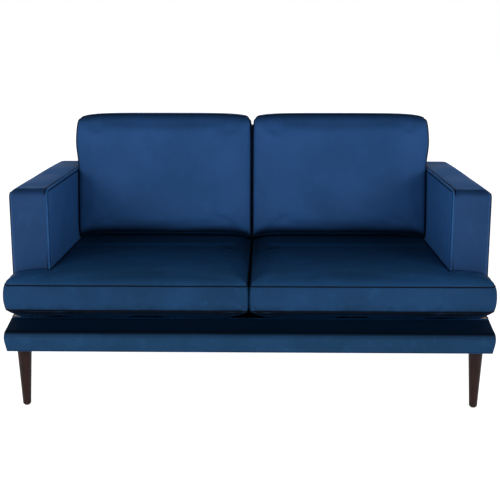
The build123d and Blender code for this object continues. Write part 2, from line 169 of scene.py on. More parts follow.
def velvet(name, shadow, body, light, top=(1.0, 1.0), under=0.5, sheen=0.4, side=1.0, nap_mm=170.0):
    """Polyester velvet, woven with a short cut pile. The pile lies in broad soft patches that read a
    little lighter or darker, it glows blue where it turns away, and it is brushed a little unevenly.
    top, under and side are painted light and shade: factors on the colour of faces that look up, down
    and sideways, against upright ones that look forward. They stand in for how the lamps and the parts
    nearby light those faces. top has one value for the front of the sofa and one for its back: a painted
    gradient of light and shade from front to back."""
    made, tree, shader, place = start(
        name,
        Roughness=0.6,
        Specular_IOR_Level=0.05,
        Sheen_Weight=sheen,
        Sheen_Roughness=0.38,
        Sheen_Tint=linear("#2a74c0"),
    )
    nap = spread(tree, cloud(tree, place, nap_mm), 0.3, 0.7)
    brushed = cloud(tree, place, 46.0, 4.0, 1.2)
    # The pile's tufts are 0.3 mm apart, drawn at 1.3 mm so that they show
    pile = cloud(tree, place, 1.3)
    strokes = spread(tree, brushed, 0.5, 0.78, 0.0, 0.3)
    colour = blend_colours(tree, strokes, blend_colours(tree, nap, shadow, body), light)
    facing = add(tree, "ShaderNodeTexCoord").outputs["Normal"]
    parts = add(tree, "ShaderNodeSeparateXYZ", links={0: facing}).outputs
    sideways = add(tree, "ShaderNodeMath", links={0: parts["X"]}, operation="ABSOLUTE").outputs[0]
    depth = add(tree, "ShaderNodeSeparateXYZ", links={0: place}).outputs["Y"]
    # Painted light and shade: the colour is scaled on tops, undersides and sideways faces, and on tops from
    # front to back
    upper = {0: spread(tree, parts["Z"], *FACING_UP), 3: spread(tree, depth, front, TOP_REAR, *top)}
    tone = spread(tree, pile, 0.3, 0.7, 0.88, 1.09)
    for part in (
        add(tree, "ShaderNodeMix", {2: 1.0}, upper).outputs[0],
        spread(tree, parts["Z"], *FACING_DOWN, under, 1.0),
        spread(tree, sideways, *FACING_SIDEWAYS, 1.0, side),
    ):
        tone = times(tree, tone, part)
    tree.links.new(shaded(tree, colour, tone), shader.inputs["Base Color"])
    tree.links.new(spread(tree, nap, 0.0, 1.0, 0.66, 0.54), shader.inputs["Roughness"])
    soft = bump(tree, shader, brushed, 0.3, 0.9)
    bump(tree, shader, pile, 0.45, 0.22, soft)
    return made


def stained_beech(name):
    """Beech turned to a taper, stained espresso and lacquered satin: nearly black-brown with faint
    straight grain along the leg and a soft highlight."""
    made, tree, shader, place = start(name, Specular_IOR_Level=0.14, Coat_Weight=0.03, Coat_Roughness=0.3)
    along = add(tree, "ShaderNodeMapping", {"Scale": (1.0, 1.0, 0.06)}, {"Vector": place}).outputs["Vector"]
    rings = cloud(tree, along, 5.0, 5.0, 0.6)
    flecks = cloud(tree, along, 1.1)
    tone = blend_colours(tree, spread(tree, rings, 0.3, 0.7), "#130605", "#260f0c")
    fleck = spread(tree, flecks, 0.55, 0.8, 1.0, 0.6)
    tree.links.new(shaded(tree, tone, fleck), shader.inputs["Base Color"])
    tree.links.new(spread(tree, rings, 0.2, 0.8, 0.42, 0.58), shader.inputs["Roughness"])
    bump(tree, shader, flecks, 0.25, 0.12)
    return made


def mottled(name, low, high, size_mm, relief, detail=2.0, distortion=0.0, grain=None, **values):
    """A plain stuff: two colours in small patches, which also give it its relief: a strength and a depth
    in millimetres. A grain draws the patches out."""
    made, tree, shader, place = start(name, **values)
    if grain:
        place = add(tree, "ShaderNodeMapping", {"Scale": grain}, {"Vector": place}).outputs["Vector"]
    patches = cloud(tree, place, size_mm, detail, distortion)
    factor = spread(tree, patches, 0.3, 0.7) if grain else patches
    tree.links.new(blend_colours(tree, factor, low, high), shader.inputs["Base Color"])
    bump(tree, shader, patches, *relief)
    return made, tree, shader, patches


def sawn_timber(name, low, high, size_mm, grain):
    """Sawn softwood or ply: pale, matt, with grain along the piece and a rough face."""
    looks = {"Roughness": 0.78, "Specular_IOR_Level": 0.3}
    return mottled(name, low, high, size_mm, (0.4, 0.3), 6.0, 1.2, grain, **looks)[0]


def drawn_steel(name, tone, roughness):
    """Steel wire or a plated fastener: bright metal with fine draw marks and a dull bloom."""
    made, tree, shader, drawn = mottled(name, tone, "#c9cbd0", 3.0, (0.15, 0.05), 4.0, Metallic=1.0)
    rough = spread(tree, drawn, 0.3, 0.7, roughness, roughness + 0.2)
    tree.links.new(rough, shader.inputs["Roughness"])
    return made


def moulded_plastic(name, low, high):
    """Moulded nylon or polypropylene: even colour, fine matt grain."""
    return mottled(name, low, high, 0.8, (0.3, 0.08), Roughness=0.5)[0]


def woven(name, low, high, thread_mm):
    """Plain-woven cloth: two crossing sets of threads, one over the other, matt."""
    made, tree, shader, place = start(name, Roughness=0.9, Specular_IOR_Level=0.1)
    values = {"Scale": per_size(thread_mm) / math.tau, "Distortion": 0.4, "Detail": 1.0}
    waves = []
    for direction in ("X", "Y"):
        wave = add(tree, "ShaderNodeTexWave", values, {"Vector": place}, bands_direction=direction)
        waves.append(wave.outputs["Fac"])
    cross = times(tree, *waves)
    faded = times(tree, cross, cloud(tree, place, 60.0))
    tree.links.new(blend_colours(tree, faded, low, high), shader.inputs["Base Color"])
    bump(tree, shader, cross, 0.6, thread_mm / 4)
    return made


def open_cell_foam(name, low, high):
    """Polyurethane foam or fibre: pale, very matt, pitted with small cells."""
    made, tree, shader, place = start(name, Roughness=0.95, Specular_IOR_Level=0.1)
    cells = add(tree, "ShaderNodeTexVoronoi", {"Scale": per_size(2.2)}, {"Vector": place})
    tone = blend_colours(tree, cloud(tree, place, 40.0, 3.0), low, high)
    tree.links.new(tone, shader.inputs["Base Color"])
    bump(tree, shader, cells.outputs["Distance"], 0.5, 0.8)
    return made


# One velvet in lit and shaded copies, one for each part: their colours and their top, under and side
# factors are painted light and shade. The band's slope under the seat, the rear of the seat's top and the
# seat's underside are painted nearly black. The seat's front edge and the arms' inner sides are painted
# light. The back cushions' bottom roll is painted dark. The piping copy is painted lighter, for the
# highlight along the cords.
navy_velvet = velvet("navy_velvet", "#12304c", "#153554", "#1c4468", (0.05, 0.5), 0.3, 0.3)
rest_velvet = velvet("navy_velvet_back_cushion", "#1f416d", "#224676", "#274e83", (0.35, 0.35), 0.06, 0.25)
seat_velvet = velvet("navy_velvet_seat", "#12304e", "#153558", "#1c446c", (1.25, 0.12), 0.02, 0.1)
arm_velvet = velvet("navy_velvet_arm", "#193357", "#1b375d", "#224268", (0.6, 0.6), 0.5, 0.35, 1.8)
seam_velvet = velvet("navy_velvet_piping", "#1a3c66", "#224a76", "#2b5a88", (0.9, 0.9), 0.5, 0.4, 1.4, 60.0)
# Near-black and far thicker than real thread: the seam cords are partly stitching and partly painted shade,
# the dark lines of shade in the seams' grooves
thread = woven("navy_sewing_thread", "#02060f", "#050c1c", 1.0)
finishes = {
    "velvet": navy_velvet,
    "deck_cloth": woven("navy_platform_cloth", "#040a18", "#0a1428", 2.4),
    "dust_cloth": woven("black_spunbond", "#08080a", "#26262a", 2.0),
    "webbing": woven("elastic_webbing", "#1c1c20", "#4a4a50", 3.0),
    "foam": open_cell_foam("cream_foam", "#d9cfa8", "#efe7c8"),
    "fibre_fill": open_cell_foam("white_fibre", "#dcdcd6", "#f4f4f0"),
    "zip_nylon": moulded_plastic("navy_nylon", "#0b1630", "#16264c"),
    "zip_metal": drawn_steel("gunmetal", "#2b3040", 0.35),
    "leg_wood": stained_beech("espresso_beech"),
    "glide_plastic": moulded_plastic("black_nylon", "#0b0b0c", "#1c1c1e"),
    "clip_plastic": moulded_plastic("white_polypropylene", "#c9c9c4", "#e6e6e0"),
    "spring_steel": drawn_steel("spring_wire", "#4c4e52", 0.4),
    "zinc_steel": drawn_steel("zinc_plate", "#8e9298", 0.3),
    "plywood": sawn_timber("birch_ply", "#b08a5c", "#d6b485", 9.0, (1.0, 0.08, 1.0)),
    "frame_timber": sawn_timber("sawn_pine", "#b9925f", "#e0bf8e", 7.0, (0.08, 1.0, 1.0)),
}
for row in frame["record"]["subparts"]:
    mesh = frame["nodes"][row["node"]].data
    mesh.materials.clear()
    mesh.materials.append(finishes[row["material_slot"]])


# ---- shapes


CUT_TOLERANCE = 0.02 * MM  # a cut that passes this near a vertex goes through it


def marks(points, step):
    """The points, with the gaps between them divided into equal steps."""
    found = [points[0]]
    for low, high in zip(points, points[1:]):
        count = max(1, round((high - low) / step))
        found += [low + (high - low) * i / count for i in range(1, count + 1)]
    return found


def slice_through(form, cuts):
    """Cuts a mesh along X, Y and Z at the inner marks of each list."""
    for axis, places in enumerate(cuts):
        normal = Vector([float(i == axis) for i in range(3)])
        for place in places[1:-1]:
            bmesh.ops.bisect_plane(
                form,
                geom=form.verts[:] + form.edges[:] + form.faces[:],
                dist=CUT_TOLERANCE,
                plane_co=normal * place,
                plane_no=normal,
            )


def cut_block(low, high, cuts):
    """A box between two corners, cut at the marks along each axis."""
    form = bmesh.new()
    bmesh.ops.create_cube(form, size=1.0)
    bmesh.ops.scale(form, vec=high - low, verts=form.verts)
    bmesh.ops.translate(form, vec=(high + low) / 2, verts=form.verts)
    slice_through(form, cuts)
    return form


def as_mesh(name, form):
    """A mesh made of a bmesh, which is used up."""
    mesh = bpy.data.meshes.new(name)
    form.to_mesh(mesh)
    form.free()
    return mesh


def put(name, data):
    """An object in the scene."""
    made = bpy.data.objects.new(name, data)
    bpy.context.scene.collection.objects.link(made)
    return made


def finish_mesh(name, form, material, body, levels=0, faces_kept=False):
    """Makes a smooth-shaded object of a bmesh and lets it ride on a body. Open sheets keep their faces."""
    if not faces_kept:
        bmesh.ops.recalc_face_normals(form, faces=form.faces)
    mesh = as_mesh(name, form)
    mesh.shade_smooth()
    mesh.materials.append(material)
    piece = put(name, mesh)
    if levels:
        soften = piece.modifiers.new("soften", "SUBSURF")
        soften.levels = levels
        soften.render_levels = levels
    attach(piece, body)
    return piece


def thicken(piece, thickness):
    """Gives an open sheet of cloth its thickness, on the inside."""
    cloth = piece.modifiers.new("cloth", "SOLIDIFY")
    cloth.thickness = thickness
    cloth.offset = -1.0


def tube(name, points, radius, material, body, closed=False):
    """A round cord of cloth or thread along a line of points."""
    curve = bpy.data.curves.new(name, "CURVE")
    curve.dimensions = "3D"
    curve.bevel_depth = radius
    curve.bevel_resolution = 2
    curve.use_fill_caps = True
    spline = curve.splines.new("POLY")
    spline.points.add(len(points) - 1)
    for point, place in zip(spline.points, points):
        point.co = (*place, 1.0)
    spline.use_cyclic_u = closed
    drawn = bpy.data.objects.new(name + "_line", curve)
    mesh = bpy.data.meshes.new_from_object(drawn)
    bpy.data.objects.remove(drawn)
    mesh.name = name
    form = bmesh.new()
    form.from_mesh(mesh)
    bpy.data.meshes.remove(mesh)
    bmesh.ops.remove_doubles(form, verts=form.verts, dist=0.05 * MM)
    return finish_mesh(name, form, material, body)


def graded(low, high, step, edge=(2.5, 6.0, 11.0, 17.5, 26.0), both=(True, True)):
    """Marks along a line that crowd near its ends, with even steps between."""
    near = [e * MM for e in edge]
    start_at = near[-1] if both[0] else 0.0
    stop_at = near[-1] if both[1] else 0.0
    inner = marks([low + start_at, high - stop_at], step)
    head = [low] + [low + e for e in near[:-1]] if both[0] else []
    tail = [high - e for e in reversed(near[:-1])] + [high] if both[1] else []
    return head + inner + tail


def clamp(value):
    return min(max(value, 0.0), 1.0)


def rolled(distance, radius):
    """The height of a quarter circle at a distance in from its foot, as a share of its radius."""
    reach = 1 - clamp(distance / radius)
    return math.sqrt(1 - reach * reach)


def smooth_step(value):
    """Zero up to zero, one from one on, and smooth between."""
    value = clamp(value)
    return value * value * (3 - 2 * value)


def hump(value):
    """Half a sine wave: zero at zero and at one."""
    return math.sin(math.pi * clamp(value))


def fade(distance, run):
    """One at no distance, dying away over a run."""
    return math.exp(-distance / run)


def rounded_corner(x, y, corner, inward, radius):
    """Moves a point near an outline's corner so that the corner has a radius. inward points along X and Y
    into the outline."""
    centre = (corner[0] + inward[0] * radius, corner[1] + inward[1] * radius)
    off = ((x - centre[0]) * -inward[0], (y - centre[1]) * -inward[1])
    if off[0] <= 0 or off[1] <= 0:
        return x, y
    length = math.hypot(*off)
    share = max(off) / length
    return centre[0] + (x - centre[0]) * share, centre[1] + (y - centre[1]) * share


def edge_distance(x, y, outline, rounds, held=None):
    """The distance of a point inside a closed outline from its edge, with rounded corners. held gives, by
    index, the edges that are pressed against something: how much to stretch their distance, and what to
    add to it."""
    held = held or {}
    for index, inward, radius in rounds:
        off_x = outline[index][0] + inward[0] * radius - x
        off_y = outline[index][1] + inward[1] * radius - y
        if off_x * inward[0] > 0 and off_y * inward[1] > 0:
            return max(radius - math.hypot(off_x, off_y), 0.0)
    best = 1.0
    for index, ((ax, ay), (bx, by)) in enumerate(zip(outline, outline[1:] + outline[:1])):
        dx, dy = bx - ax, by - ay
        along = clamp(((x - ax) * dx + (y - ay) * dy) / (dx * dx + dy * dy))
        stretch, extra = held.get(index, (1.0, 0.0))
        best = min(best, extra + stretch * math.hypot(x - ax - dx * along, y - ay - dy * along))
    return best


def soft_limit(value, limit, soft):
    """Keeps a value under a limit and bends it there gently."""
    over = value - (limit - soft)
    return value if over <= 0 else limit - soft + soft * math.tanh(over / soft)


def skin(rings, closed):
    """A mesh over rings of points, with its rings of vertices. Each ring is closed, or open."""
    form = bmesh.new()
    made = [[form.verts.new(point) for point in ring] for ring in rings]
    count = len(made[0])
    for before, after in zip(made, made[1:]):
        for i in range(count if closed else count - 1):
            j = (i + 1) % count
            form.faces.new((before[i], after[i], after[j], before[j]))
    return form, made


def ripple(place, size, amount, seed):
    """A smooth unevenness of a given size and height."""
    return amount * noise.noise(Vector(place) / size + Vector((seed, seed * 0.7, -seed)))


SINK_LIMIT = 1.5 * MM
FILL_FRAMES = 16


def fill_out(piece, pinned, pressure, cap, growth):
    """Blows a closed cover up by cloth simulation with its seams held. Every point stays within a cap of
    where it was cut, and the filling keeps it from sinking in. growth is how much the cloth stretches."""
    starts = [v.co.copy() for v in piece.data.vertices]
    outward = [v.normal.copy() for v in piece.data.vertices]
    held = piece.vertex_groups.new(name="seams")
    held.add(pinned, 1.0, "REPLACE")
    cloth = piece.modifiers.new("filling", "CLOTH")
    settings = cloth.settings
    settings.quality = 6
    settings.mass = 0.35
    settings.tension_stiffness = 18.0
    settings.compression_stiffness = 12.0
    settings.bending_stiffness = 0.6
    settings.use_pressure = True
    settings.uniform_pressure_force = pressure
    settings.vertex_group_mass = "seams"
    settings.shrink_min = -growth
    settings.effector_weights.gravity = 0.0
    cloth.collision_settings.use_collision = False
    cloth.point_cache.frame_start = 1
    cloth.point_cache.frame_end = FILL_FRAMES
    for number in range(1, FILL_FRAMES + 1):
        bpy.context.scene.frame_set(number)
    blown = piece.evaluated_get(bpy.context.evaluated_depsgraph_get()).data
    ends = [v.co.copy() for v in blown.vertices]
    piece.modifiers.remove(cloth)
    piece.vertex_groups.clear()
    for vertex, begin, end, normal in zip(piece.data.vertices, starts, ends, outward):
        move = end - begin
        move += normal * max(-SINK_LIMIT - move.dot(normal), 0.0)
        if move.length > 0:
            move *= cap * math.tanh(move.length / cap) / move.length
        vertex.co = begin + move
    bpy.context.scene.frame_set(1)


ON_SEAM = 0.1 * MM  # a vertex this near a seam's plane is on it


def seam_loops(mesh, axis, places):
    """The closed seams between a cushion's two panels and its border: vertices in order, one list for
    each place along the axis that the panels face."""
    sides = {}
    for polygon in mesh.polygons:
        panel = abs(polygon.normal[axis]) > 0.5
        for key in polygon.edge_keys:
            sides.setdefault(key, set()).add(panel)
    loops = []
    for place in places:
        near = {}
        for (a, b), kinds in sides.items():
            if len(kinds) == 2 and abs(mesh.vertices[a].co[axis] - place) < ON_SEAM:
                near.setdefault(a, []).append(b)
                near.setdefault(b, []).append(a)
        first = min(near)
        before, here = first, near[first][0]
        loop = [first]
        while here != first:
            loop.append(here)
            before, here = here, next(i for i in near[here] if i != before)
        loops.append(loop)
    return loops


# ---- camera, light and stage

CAMERA_PLACE = (0.053, -3.301, 1.134)
CAMERA_TURN = 0.985  # degrees to the left
CAMERA_TILT = 12.08  # degrees down
CAMERA_LENS = 70.66  # focal length in millimetres
CAMERA_SENSOR = 36.0


def make_camera():
    data = bpy.data.cameras.new("camera")
    data.lens = CAMERA_LENS
    data.sensor_width = CAMERA_SENSOR
    camera = put("camera", data)
    camera.location = CAMERA_PLACE
    camera.rotation_euler = (math.radians(90 - CAMERA_TILT), 0.0, math.radians(CAMERA_TURN))
    bpy.context.scene.camera = camera


def area_light(name, place, aim, power):
    data = bpy.data.lights.new(name, "AREA")
    data.shape = "RECTANGLE"
    data.size, data.size_y = 2.2, 1.4
    data.energy = power
    light = put(name, data)
    light.location = place
    light.rotation_euler = (Vector(aim) - Vector(place)).to_track_quat("-Z", "Y").to_euler()


def make_studio():
    """White cove: bright round the horizon and dim overhead, with a soft key and fill from the front."""
    scene = bpy.context.scene
    scene.view_settings.view_transform = "Standard"
    world = bpy.data.worlds.new("studio")
    world.use_nodes = True
    scene.world = world
    tree = world.node_tree
    where = add(tree, "ShaderNodeTexCoord")
    parts = add(tree, "ShaderNodeSeparateXYZ", links={0: where.outputs["Generated"]})
    height = spread(tree, parts.outputs["Z"], 0.12, 0.6, 1.0, 0.14)
    tree.links.new(height, tree.nodes["Background"].inputs["Strength"])
    white = (1.0, 1.0, 1.0, 1.0)
    tree.nodes["Background"].inputs["Color"].default_value = white
    area_light("key", (-2.3, -3.7, 1.9), (0.1, 0.0, 0.5), 80.0)
    area_light("fill", (2.5, -3.5, 1.7), (-0.1, 0.0, 0.5), 66.0)
    form = bmesh.new()
    bmesh.ops.create_grid(form, x_segments=1, y_segments=1, size=30.0)
    floor = put("floor", as_mesh("floor", form))
    paint, tree, shader, place = start("white_cove_paint", Roughness=0.6, Specular_IOR_Level=0.1)
    tone = blend_colours(tree, cloud(tree, place, 300.0), "#c4c4c4", "#c8c8c8")
    tree.links.new(tone, shader.inputs["Base Color"])
    shader.inputs["Emission Color"].default_value = white
    shader.inputs["Emission Strength"].default_value = 0.95
    floor.data.materials.append(paint)


make_camera()
make_studio()


# ---- seat cushions

STEP = 13 * MM
# The filling inside a cover: how far it is drawn in and settled in, and its cells
CORE_INSET = 15 * MM
CORE_MARGIN = 9 * MM
CORE_STEP = 30 * MM
INSET_RISE = 0.6  # how far the panels move for each unit of inset
SEAT_SEAM_TOP = 27 * MM  # top seam below the crown
SEAT_SEAM_LOW = 45 * MM  # bottom seam above the deck
SEAT_CORNER = 24 * MM
# The outer corners of the plan: index, the way inward and radius
SEAT_ROUNDS = [
    (0, (1, 1), SEAT_CORNER * 0.3),
    (1, (-1, 1), SEAT_CORNER),
    (2, (-1, -1), SEAT_CORNER * 0.8),
    (4, (-1, -1), SEAT_CORNER),
    (5, (1, -1), SEAT_CORNER),
]
SEAT_NEAR_GAP = 1.5 * MM  # seams in from the neighbour, the arm, and the arm's front and the back
SEAT_ARM_GAP = 5 * MM
SEAT_BACK_GAP = 4 * MM
SEAT_END_INSET = 3 * MM  # seams in from the bulging ends
SEAT_FRONT_INSET = 4 * MM
SEAT_END_BELLY = 6 * MM
SEAT_FRONT_BELLY = 5 * MM
SEAT_ROLL = 36 * MM  # the top rolls over to its seam within this distance
SEAT_ROLL_HEIGHT = 17 * MM
SEAT_DOME = 21 * MM
SEAT_DOME_RUN = 105 * MM
SEAT_DROP = 46 * MM  # the underside drops this far below its seam
SEAT_DROP_RUN = 50 * MM
SEAT_EXTRA = 8 * MM  # the crown in front of the back cushions
SEAT_SOFT = 7 * MM
# The edges of the plan that are pressed against the front of the arm, its inside and the back
SEAT_HELD = {2: (1.0, 0.12), 3: (1.5, 0.07), 4: (1.0, 0.04)}
REST_CLEAR = rest_low.y - 12 * MM  # the seat stays flat behind this Y, where the back cushion stands
TOUCH = 0.6 * MM  # a cushion reaches this far past its half, into its neighbour's gap
ARM_CLEAR = 2 * MM
SEAM_DEPTH = 2.2 * MM
SEAM_PROUD = 1.4 * MM
SEAM_RADIUS = 2 * MM
ZIP_RECESS = 0.6 * MM


def seat_outline(inset):
    """The cushion's plan on the right: a main part between the arms and an ear in front of the arm."""
    near = split + inset + SEAT_NEAR_GAP
    ear = seat_high.x - SEAT_END_INSET - inset
    main = arm_inside - SEAT_ARM_GAP - inset
    fore = front + SEAT_FRONT_INSET + inset
    ear_back = arm_front - SEAT_BACK_GAP - inset
    end = seat_high.y - SEAT_BACK_GAP - inset
    return [(near, fore), (ear, fore), (ear, ear_back), (main, ear_back), (main, end), (near, end)]


def seat_form(inset, step):
    """The cut-out cushion as a closed form, its outline and the heights of its two seams."""
    outline = seat_outline(inset)
    low = seat_low.z + SEAT_SEAM_LOW + inset * INSET_RISE
    high = seat_high.z - SEAT_SEAM_TOP - inset * INSET_RISE
    form = bmesh.new()
    base = form.faces.new([form.verts.new((x, y, low)) for x, y in outline])
    raised = bmesh.ops.extrude_face_region(form, geom=[base])["geom"]
    upper = [item for item in raised if isinstance(item, bmesh.types.BMVert)]
    bmesh.ops.translate(form, vec=(0, 0, high - low), verts=upper)
    (near, fore), (ear, _), (_, ear_back), (main, _), (_, end), _ = outline
    along_x = graded(near, main, step) + graded(main, ear, step, both=(False, True))[1:]
    along_y = graded(fore, ear_back, step) + graded(ear_back, end, step, both=(False, True))[1:]
    slice_through(form, [along_x, along_y, graded(low, high, step, edge=(3.0, 8.0))])
    for vertex in form.verts:
        x, y, z = vertex.co
        for index, inward, radius in SEAT_ROUNDS:
            x, y = rounded_corner(x, y, outline[index], inward, radius)
        vertex.co = (x, y, z)
    return form, outline, low, high


def crown_seat(form, outline, low, high):
    """Domes the top, lets the underside sag to the deck and rounds the ends."""
    middle = (low + high) / 2
    for vertex in form.verts:
        x, y, z = vertex.co
        share = (z - low) / (high - low)
        distance = edge_distance(x, y, outline, SEAT_ROUNDS[:2], SEAT_HELD)
        crown = SEAT_ROLL_HEIGHT * rolled(distance, SEAT_ROLL)
        crown += SEAT_DOME * (1 - fade(distance, SEAT_DOME_RUN))
        if share > 0.999:
            z += crown + ripple(vertex.co, 0.17, 3 * MM, 3.1) * smooth_step(distance / 0.08)
        elif share < 0.001:
            depth = edge_distance(x, y, outline, SEAT_ROUNDS)
            z -= SEAT_DROP * (1 - fade(depth, SEAT_DROP_RUN))
        else:
            belly = 1 - abs((z - middle) / (high - middle)) ** 2.5
            x += SEAT_END_BELLY * belly * smooth_step((x - arm_inside) / 0.05)
            y -= SEAT_FRONT_BELLY * belly * smooth_step((front + 0.03 - y) / 0.02)
            z += crown * share * smooth_step((distance - 1 * MM) / (4 * MM))
        vertex.co = (x, y, z)


def settle_seat(mesh, margin):
    """Flattens the cushion where it meets the deck, the arm, its neighbour, the back and its cushion."""
    for vertex in mesh.vertices:
        x, y, z = vertex.co
        z = max(z, seat_low.z + 0.4 * MM + margin)
        ceiling = seat_high.z - 0.4 * MM + SEAT_EXTRA * smooth_step((REST_CLEAR - y) / 0.12)
        z = soft_limit(z, ceiling - margin, SEAT_SOFT)
        x = max(x, split - TOUCH + margin)
        y = min(y, seat_high.y - ZIP_RECESS - margin)
        if y > arm_front - ARM_CLEAR:
            x = min(x, arm_inside - ARM_CLEAR - margin)
        elif x > arm_inside - 1 * MM:
            y = min(y, arm_front - ARM_CLEAR - margin)
        vertex.co = (x, y, z)


PUCKER_RUN = 14 * MM  # gathers die away within this distance of a seam
PUCKER_START = 4 * MM


def pucker(mesh, seams, amount, size, seed, strong_side=None):
    """Small gathers in the cloth beside the seams, stronger near one side."""
    mesh.update()
    sewn = [mesh.vertices[i].co.copy() for seam in seams for i in seam]
    tree = KDTree(len(sewn))
    for i, place in enumerate(sewn):
        tree.insert(place, i)
    tree.balance()
    normals = [v.normal.copy() for v in mesh.vertices]
    for vertex, normal in zip(mesh.vertices, normals):
        gap = tree.find(vertex.co)[2]
        strength = fade(gap, PUCKER_RUN) * smooth_step(gap / PUCKER_START)
        if strong_side is not None:
            strength *= 1 + 1.6 * smooth_step((strong_side + 0.06 - vertex.co.x) / 0.04)
        vertex.co += normal * ripple(vertex.co, size, amount, seed) * strength


def sink_seams(mesh, seams):
    """Draws the seams into the padding."""
    mesh.update()
    normals = [v.normal.copy() for v in mesh.vertices]
    for seam in seams:
        for i in seam:
            mesh.vertices[i].co -= normals[i] * SEAM_DEPTH


def filled_cover(name, shape, axis, crown, pressure, cap, growth):
    """A cushion's cover, crowned and filled out, with its two seams. shape is what the cushion's form
    function gives, and axis is the one that its panels face."""
    form, outline, first, second = shape
    flat = finish_mesh(name, form, navy_velvet, "frame")
    seams = seam_loops(flat.data, axis, (first, second))
    form = bmesh.new()
    form.from_mesh(flat.data)
    crown(form, outline, first, second)
    form.to_mesh(flat.data)
    form.free()
    fill_out(flat, seams[0] + seams[1], pressure, cap, growth)
    return flat, seams


def cushion_core(name, shape, crown, settle):
    """The filling of a cushion: its form made smaller."""
    crown(*shape)
    mesh = as_mesh(name, shape[0])
    settle(mesh, CORE_MARGIN)
    return mesh


def add_sided(name, mesh, side, sign, material, body, slot, levels=0, uneven=None):
    """A copy of a right-hand mesh for one side of the sofa, uneven in its own way on its large face."""
    form = bmesh.new()
    form.from_mesh(mesh)
    if sign < 0:
        bmesh.ops.scale(form, vec=(-1, 1, 1), verts=form.verts)
        bmesh.ops.reverse_faces(form, faces=form.faces)
    if uneven is not None:
        form.normal_update()
        for vertex in form.verts:
            facing = smooth_step((vertex.normal.dot(Vector(uneven)) - 0.8) / 0.15)
            vertex.co += vertex.normal * ripple(vertex.co, 0.11, 1.6 * MM, 11.0 + sign) * facing
    return finish_mesh(name + "_" + side, form, material, body, levels)


def on_side(points, sign):
    """Points of the right-hand side, put on the side of a sign."""
    return [Vector((sign * p.x, p.y, p.z)) for p in points]


def add_seams(name, mesh, labels, seams, side, sign, body):
    """Sewn lines along the seams: loops of indices of a mesh's vertices. Their near-black thread is partly
    painted shade, the shade in the seams' grooves.
    """
    for label, seam in zip(labels, seams):
        proud = [mesh.vertices[i].co + mesh.vertices[i].normal * SEAM_PROUD for i in seam]
        tube(f"{name}_{label}_seam_{side}", on_side(proud, sign), SEAM_RADIUS, thread, body, True)


def make_seat_cushions():
    flat, seams = filled_cover("seat_pattern", seat_form(0.0, STEP), 2, crown_seat, 3.0, 8 * MM, 0.01)
    pucker(flat.data, seams, 1.9 * MM, 0.015, 5.0, split)
    sink_seams(flat.data, seams)
    settle_seat(flat.data, 0.0)
    core = cushion_core("seat_core", seat_form(CORE_INSET, CORE_STEP), crown_seat, settle_seat)
    for side, sign in SIDES:
        body = "seat_cushion_" + side
        cover = add_sided("velvet_seat_cushion", flat.data, side, sign, seat_velvet, body, "velvet", 1)
        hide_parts("seat_cushion_cover_" + side)
        foam = add_sided("seat_foam_core", core, side, sign, finishes["foam"], body, "foam", 1)
        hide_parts("seat_cushion_foam_" + side)
        add_seams("seat_cushion", flat.data, ("lower", "upper"), seams, side, sign, body)
    bpy.data.objects.remove(flat)


# ---- back cushions

REST_FRONT_SEAM = 14 * MM  # front seam behind the cushion's foremost plane
REST_ROLL_SIDE = 36 * MM
REST_ROLL_TOP = 55 * MM
REST_ROLL_LOW = 74 * MM
REST_DOME = 14 * MM
REST_DOME_RUN = 120 * MM
REST_UNDER = 36 * MM  # the front turns back this far at the bottom
REST_OVER = 14 * MM  # and this far at the top
REST_CORNER_TOP = 15 * MM
REST_CORNER_LOW = 8 * MM
REST_PULL = 12 * MM  # the seams pull the top corners in by this much
REST_PULL_NEAR = 0.4 * REST_PULL
REST_BELLY = 6 * MM
REST_SPREAD = 10 * MM  # how far it spreads over the arm
REST_FALL = 15 * MM  # the rear of its top is lower than the front
REST_LIFT = 13 * MM  # the bottom seam rises this much between its corners
rest_bottom = rest_low.z
rest_top = rest_high.z
rest_front = rest_low.y
rest_depth = rest_high.y - rest_front - (rest_top - rest_bottom) * lean


def leaned(y, z):
    """Y of a point of the upright cushion once it leans."""
    return y + (z - rest_bottom) * lean


def spread_over_arm(z):
    """How far the side bulges out at a height, above the arm that holds it in."""
    return REST_SPREAD * smooth_step((z - arm_high.z) / 0.1)


def rest_form(inset, step):
    """An upright boxed cushion with a seam round its front and its back: its closed form, the bounds of
    its panels and the two Ys of its seams."""
    near, side = rest_low.x + 2 * MM + inset, arm_inside - 4 * MM - inset
    low, high = rest_bottom + 3 * MM + inset, rest_top - 1 * MM - inset
    fore, back = rest_front + REST_FRONT_SEAM + inset, rest_front + rest_depth - ZIP_RECESS - inset
    cuts = [graded(near, side, step), graded(fore, back, step, edge=(3.0, 8.0)), graded(low, high, step)]
    form = cut_block(Vector((near, fore, low)), Vector((side, back, high)), cuts)
    return form, (near, side, low, high), fore, back


